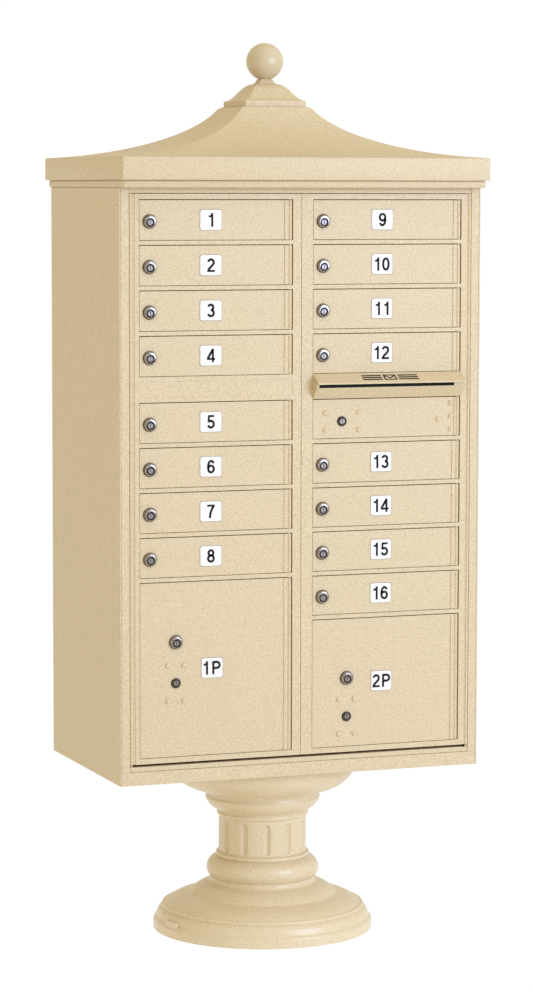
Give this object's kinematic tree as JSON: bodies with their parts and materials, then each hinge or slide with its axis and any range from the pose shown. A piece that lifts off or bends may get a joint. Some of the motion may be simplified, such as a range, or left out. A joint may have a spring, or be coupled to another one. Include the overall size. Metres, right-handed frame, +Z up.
{
  "type": "cluster mailbox unit",
  "caption": "Free-standing outdoor mailbox cabinet with locked customer doors, parcel lockers and an outgoing mail slot, on a fluted pedestal under a swept roof with a ball finial.",
  "frame": {"origin": "on the ground under the middle of the pedestal's anchor plate", "axes": "+Z up, -Y out of the front of the doors, +X to the right of someone facing the doors"},
  "size_m": [0.787, 0.52, 1.841],
  "materials": {
    "powder_coat_aluminium": "textured powder coat, sandstone",
    "cover_moulding": "satin painted moulding, sandstone",
    "lock_chrome": "polished chrome plate",
    "galvanised_steel": "galvanised"
  },
  "bodies": {
    "cabinet": {"pedestal_post": "galvanised_steel", "pedestal_cover_front": "cover_moulding", "pedestal_cover_rear": "cover_moulding", "cabinet_bolts": "galvanised_steel", "cabinet_floor": "powder_coat_aluminium", "cabinet_left_side": "powder_coat_aluminium", "cabinet_right_side": "powder_coat_aluminium", "cabinet_rear_panel": "powder_coat_aluminium", "cabinet_top_panel": "powder_coat_aluminium", "front_frame": "powder_coat_aluminium", "centre_divider": "powder_coat_aluminium", "shelves": "powder_coat_aluminium", "master_door_pivots": "galvanised_steel", "roof_moulding": "powder_coat_aluminium", "roof_cap": "powder_coat_aluminium", "roof_finial": "powder_coat_aluminium"},
    "left_master_door": {"left_master_door": "powder_coat_aluminium"},
    "right_master_door": {"right_master_door": "powder_coat_aluminium", "outgoing_hood": "powder_coat_aluminium"},
    "master_latch": {"master_latch": "galvanised_steel"},
    "door_01": {"door_01": "powder_coat_aluminium"},
    "lock_01": {"lock_01": "lock_chrome"},
    "door_02": {"door_02": "powder_coat_aluminium"},
    "lock_02": {"lock_02": "lock_chrome"},
    "door_03": {"door_03": "powder_coat_aluminium"},
    "lock_03": {"lock_03": "lock_chrome"},
    "door_04": {"door_04": "powder_coat_aluminium"},
    "lock_04": {"lock_04": "lock_chrome"},
    "door_05": {"door_05": "powder_coat_aluminium"},
    "lock_05": {"lock_05": "lock_chrome"},
    "door_06": {"door_06": "powder_coat_aluminium"},
    "lock_06": {"lock_06": "lock_chrome"},
    "door_07": {"door_07": "powder_coat_aluminium"},
    "lock_07": {"lock_07": "lock_chrome"},
    "door_08": {"door_08": "powder_coat_aluminium"},
    "lock_08": {"lock_08": "lock_chrome"},
    "door_09": {"door_09": "powder_coat_aluminium"},
    "lock_09": {"lock_09": "lock_chrome"},
    "door_10": {"door_10": "powder_coat_aluminium"},
    "lock_10": {"lock_10": "lock_chrome"},
    "door_11": {"door_11": "powder_coat_aluminium"},
    "lock_11": {"lock_11": "lock_chrome"},
    "door_12": {"door_12": "powder_coat_aluminium"},
    "lock_12": {"lock_12": "lock_chrome"},
    "door_13": {"door_13": "powder_coat_aluminium"},
    "lock_13": {"lock_13": "lock_chrome"},
    "door_14": {"door_14": "powder_coat_aluminium"},
    "lock_14": {"lock_14": "lock_chrome"},
    "door_15": {"door_15": "powder_coat_aluminium"},
    "lock_15": {"lock_15": "lock_chrome"},
    "door_16": {"door_16": "powder_coat_aluminium"},
    "lock_16": {"lock_16": "lock_chrome"},
    "parcel_door_1p": {"parcel_door_1p": "powder_coat_aluminium"},
    "parcel_lock_1p": {"parcel_lock_1p": "lock_chrome"},
    "carrier_lock_1p": {"carrier_lock_1p": "lock_chrome"},
    "parcel_door_2p": {"parcel_door_2p": "powder_coat_aluminium"},
    "parcel_lock_2p": {"parcel_lock_2p": "lock_chrome"},
    "carrier_lock_2p": {"carrier_lock_2p": "lock_chrome"},
    "outgoing_door": {"outgoing_door": "powder_coat_aluminium"},
    "carrier_lock_outgoing": {"carrier_lock_outgoing": "lock_chrome"}
  },
  "joints": [
    {"name": "left_master_hinge", "type": "hinge", "parent": "cabinet", "child": "left_master_door", "pos_m": [-0.3638, -0.226, 0.9662], "axis": [0, 0, -1], "range_deg": [0, 90]},
    {"name": "right_master_hinge", "type": "hinge", "parent": "cabinet", "child": "right_master_door", "pos_m": [0.3638, -0.226, 0.9662], "axis": [0, 0, 1], "range_deg": [0, 90]},
    {"name": "master_latch_slide", "type": "slide", "parent": "right_master_door", "child": "master_latch", "axis": [0, 0, 1], "range_m": [0, 0.015]},
    {"name": "outgoing_door_hinge", "type": "hinge", "parent": "right_master_door", "child": "outgoing_door", "pos_m": [0.3397, -0.225, 1.08105], "axis": [0, 0, 1], "range_deg": [0, 105]},
    {"name": "parcel_door_1p_hinge", "type": "hinge", "parent": "left_master_door", "child": "parcel_door_1p", "pos_m": [-0.0278, -0.225, 0.58695], "axis": [0, 0, 1], "range_deg": [0, 105]},
    {"name": "parcel_door_2p_hinge", "type": "hinge", "parent": "right_master_door", "child": "parcel_door_2p", "pos_m": [0.3397, -0.225, 0.5422], "axis": [0, 0, 1], "range_deg": [0, 105]},
    {"name": "door_01_hinge", "type": "hinge", "parent": "left_master_door", "child": "door_01", "pos_m": [-0.0278, -0.225, 1.48155], "axis": [0, 0, 1], "range_deg": [0, 105]},
    {"name": "door_04_hinge", "type": "hinge", "parent": "left_master_door", "child": "door_04", "pos_m": [-0.0278, -0.225, 1.21305], "axis": [0, 0, 1], "range_deg": [0, 105]},
    {"name": "door_09_hinge", "type": "hinge", "parent": "right_master_door", "child": "door_09", "pos_m": [0.3397, -0.225, 1.48155], "axis": [0, 0, 1], "range_deg": [0, 105]},
    {"name": "door_16_hinge", "type": "hinge", "parent": "right_master_door", "child": "door_16", "pos_m": [0.3397, -0.225, 0.72305], "axis": [0, 0, 1], "range_deg": [0, 105]},
    {"name": "lock_01_turn", "type": "hinge", "parent": "door_01", "child": "lock_01", "pos_m": [-0.3245, -0.2075, 1.47655], "axis": [0, 1, 0], "range_deg": [0, 90]},
    {"name": "parcel_lock_1p_turn", "type": "hinge", "parent": "parcel_door_1p", "child": "parcel_lock_1p", "pos_m": [-0.2705, -0.2075, 0.63995], "axis": [0, -1, 0], "range_deg": [0, 90]},
    {"name": "parcel_lock_2p_turn", "type": "hinge", "parent": "parcel_door_2p", "child": "parcel_lock_2p", "pos_m": [0.097, -0.2075, 0.5492], "axis": [0, -1, 0], "range_deg": [0, 90]},
    {"name": "carrier_lock_1p_turn", "type": "hinge", "parent": "parcel_door_1p", "child": "carrier_lock_1p", "pos_m": [-0.2705, -0.2075, 0.55945], "axis": [0, 1, 0], "range_deg": [0, 90]},
    {"name": "carrier_lock_2p_turn", "type": "hinge", "parent": "parcel_door_2p", "child": "carrier_lock_2p", "pos_m": [0.097, -0.2075, 0.4722], "axis": [0, 1, 0], "range_deg": [0, 90]},
    {"name": "carrier_lock_outgoing_turn", "type": "hinge", "parent": "outgoing_door", "child": "carrier_lock_outgoing", "pos_m": [0.0845, -0.2075, 1.07555], "axis": [0, 1, 0], "range_deg": [0, 90]},
    {"name": "door_02_hinge", "type": "hinge", "parent": "left_master_door", "child": "door_02", "pos_m": [-0.0278, -0.225, 1.39205], "axis": [0, 0, 1], "range_deg": [0, 105]},
    {"name": "door_03_hinge", "type": "hinge", "parent": "left_master_door", "child": "door_03", "pos_m": [-0.0278, -0.225, 1.30255], "axis": [0, 0, 1], "range_deg": [0, 105]},
    {"name": "door_05_hinge", "type": "hinge", "parent": "left_master_door", "child": "door_05", "pos_m": [-0.0278, -0.225, 1.08105], "axis": [0, 0, 1], "range_deg": [0, 105]},
    {"name": "door_06_hinge", "type": "hinge", "parent": "left_master_door", "child": "door_06", "pos_m": [-0.0278, -0.225, 0.99155], "axis": [0, 0, 1], "range_deg": [0, 105]},
    {"name": "door_07_hinge", "type": "hinge", "parent": "left_master_door", "child": "door_07", "pos_m": [-0.0278, -0.225, 0.90205], "axis": [0, 0, 1], "range_deg": [0, 105]},
    {"name": "door_08_hinge", "type": "hinge", "parent": "left_master_door", "child": "door_08", "pos_m": [-0.0278, -0.225, 0.81255], "axis": [0, 0, 1], "range_deg": [0, 105]},
    {"name": "door_10_hinge", "type": "hinge", "parent": "right_master_door", "child": "door_10", "pos_m": [0.3397, -0.225, 1.39205], "axis": [0, 0, 1], "range_deg": [0, 105]},
    {"name": "door_11_hinge", "type": "hinge", "parent": "right_master_door", "child": "door_11", "pos_m": [0.3397, -0.225, 1.30255], "axis": [0, 0, 1], "range_deg": [0, 105]},
    {"name": "door_12_hinge", "type": "hinge", "parent": "right_master_door", "child": "door_12", "pos_m": [0.3397, -0.225, 1.21305], "axis": [0, 0, 1], "range_deg": [0, 105]},
    {"name": "door_13_hinge", "type": "hinge", "parent": "right_master_door", "child": "door_13", "pos_m": [0.3397, -0.225, 0.99155], "axis": [0, 0, 1], "range_deg": [0, 105]},
    {"name": "door_14_hinge", "type": "hinge", "parent": "right_master_door", "child": "door_14", "pos_m": [0.3397, -0.225, 0.90205], "axis": [0, 0, 1], "range_deg": [0, 105]},
    {"name": "door_15_hinge", "type": "hinge", "parent": "right_master_door", "child": "door_15", "pos_m": [0.3397, -0.225, 0.81255], "axis": [0, 0, 1], "range_deg": [0, 105]},
    {"name": "lock_02_turn", "type": "hinge", "parent": "door_02", "child": "lock_02", "pos_m": [-0.3245, -0.2075, 1.38705], "axis": [0, 1, 0], "range_deg": [0, 90]},
    {"name": "lock_03_turn", "type": "hinge", "parent": "door_03", "child": "lock_03", "pos_m": [-0.3245, -0.2075, 1.29755], "axis": [0, 1, 0], "range_deg": [0, 90]},
    {"name": "lock_04_turn", "type": "hinge", "parent": "door_04", "child": "lock_04", "pos_m": [-0.3245, -0.2075, 1.20805], "axis": [0, 1, 0], "range_deg": [0, 90]},
    {"name": "lock_05_turn", "type": "hinge", "parent": "door_05", "child": "lock_05", "pos_m": [-0.3245, -0.2075, 1.07605], "axis": [0, 1, 0], "range_deg": [0, 90]},
    {"name": "lock_06_turn", "type": "hinge", "parent": "door_06", "child": "lock_06", "pos_m": [-0.3245, -0.2075, 0.98655], "axis": [0, 1, 0], "range_deg": [0, 90]},
    {"name": "lock_07_turn", "type": "hinge", "parent": "door_07", "child": "lock_07", "pos_m": [-0.3245, -0.2075, 0.89705], "axis": [0, 1, 0], "range_deg": [0, 90]},
    {"name": "lock_08_turn", "type": "hinge", "parent": "door_08", "child": "lock_08", "pos_m": [-0.3245, -0.2075, 0.80755], "axis": [0, 1, 0], "range_deg": [0, 90]},
    {"name": "lock_09_turn", "type": "hinge", "parent": "door_09", "child": "lock_09", "pos_m": [0.043, -0.2075, 1.47655], "axis": [0, 1, 0], "range_deg": [0, 90]},
    {"name": "lock_10_turn", "type": "hinge", "parent": "door_10", "child": "lock_10", "pos_m": [0.043, -0.2075, 1.38705], "axis": [0, 1, 0], "range_deg": [0, 90]},
    {"name": "lock_11_turn", "type": "hinge", "parent": "door_11", "child": "lock_11", "pos_m": [0.043, -0.2075, 1.29755], "axis": [0, 1, 0], "range_deg": [0, 90]},
    {"name": "lock_12_turn", "type": "hinge", "parent": "door_12", "child": "lock_12", "pos_m": [0.043, -0.2075, 1.20805], "axis": [0, 1, 0], "range_deg": [0, 90]},
    {"name": "lock_13_turn", "type": "hinge", "parent": "door_13", "child": "lock_13", "pos_m": [0.043, -0.2075, 0.98655], "axis": [0, 1, 0], "range_deg": [0, 90]},
    {"name": "lock_14_turn", "type": "hinge", "parent": "door_14", "child": "lock_14", "pos_m": [0.043, -0.2075, 0.89705], "axis": [0, 1, 0], "range_deg": [0, 90]},
    {"name": "lock_15_turn", "type": "hinge", "parent": "door_15", "child": "lock_15", "pos_m": [0.043, -0.2075, 0.80755], "axis": [0, 1, 0], "range_deg": [0, 90]},
    {"name": "lock_16_turn", "type": "hinge", "parent": "door_16", "child": "lock_16", "pos_m": [0.043, -0.2075, 0.71805], "axis": [0, 1, 0], "range_deg": [0, 90]}
  ]
}
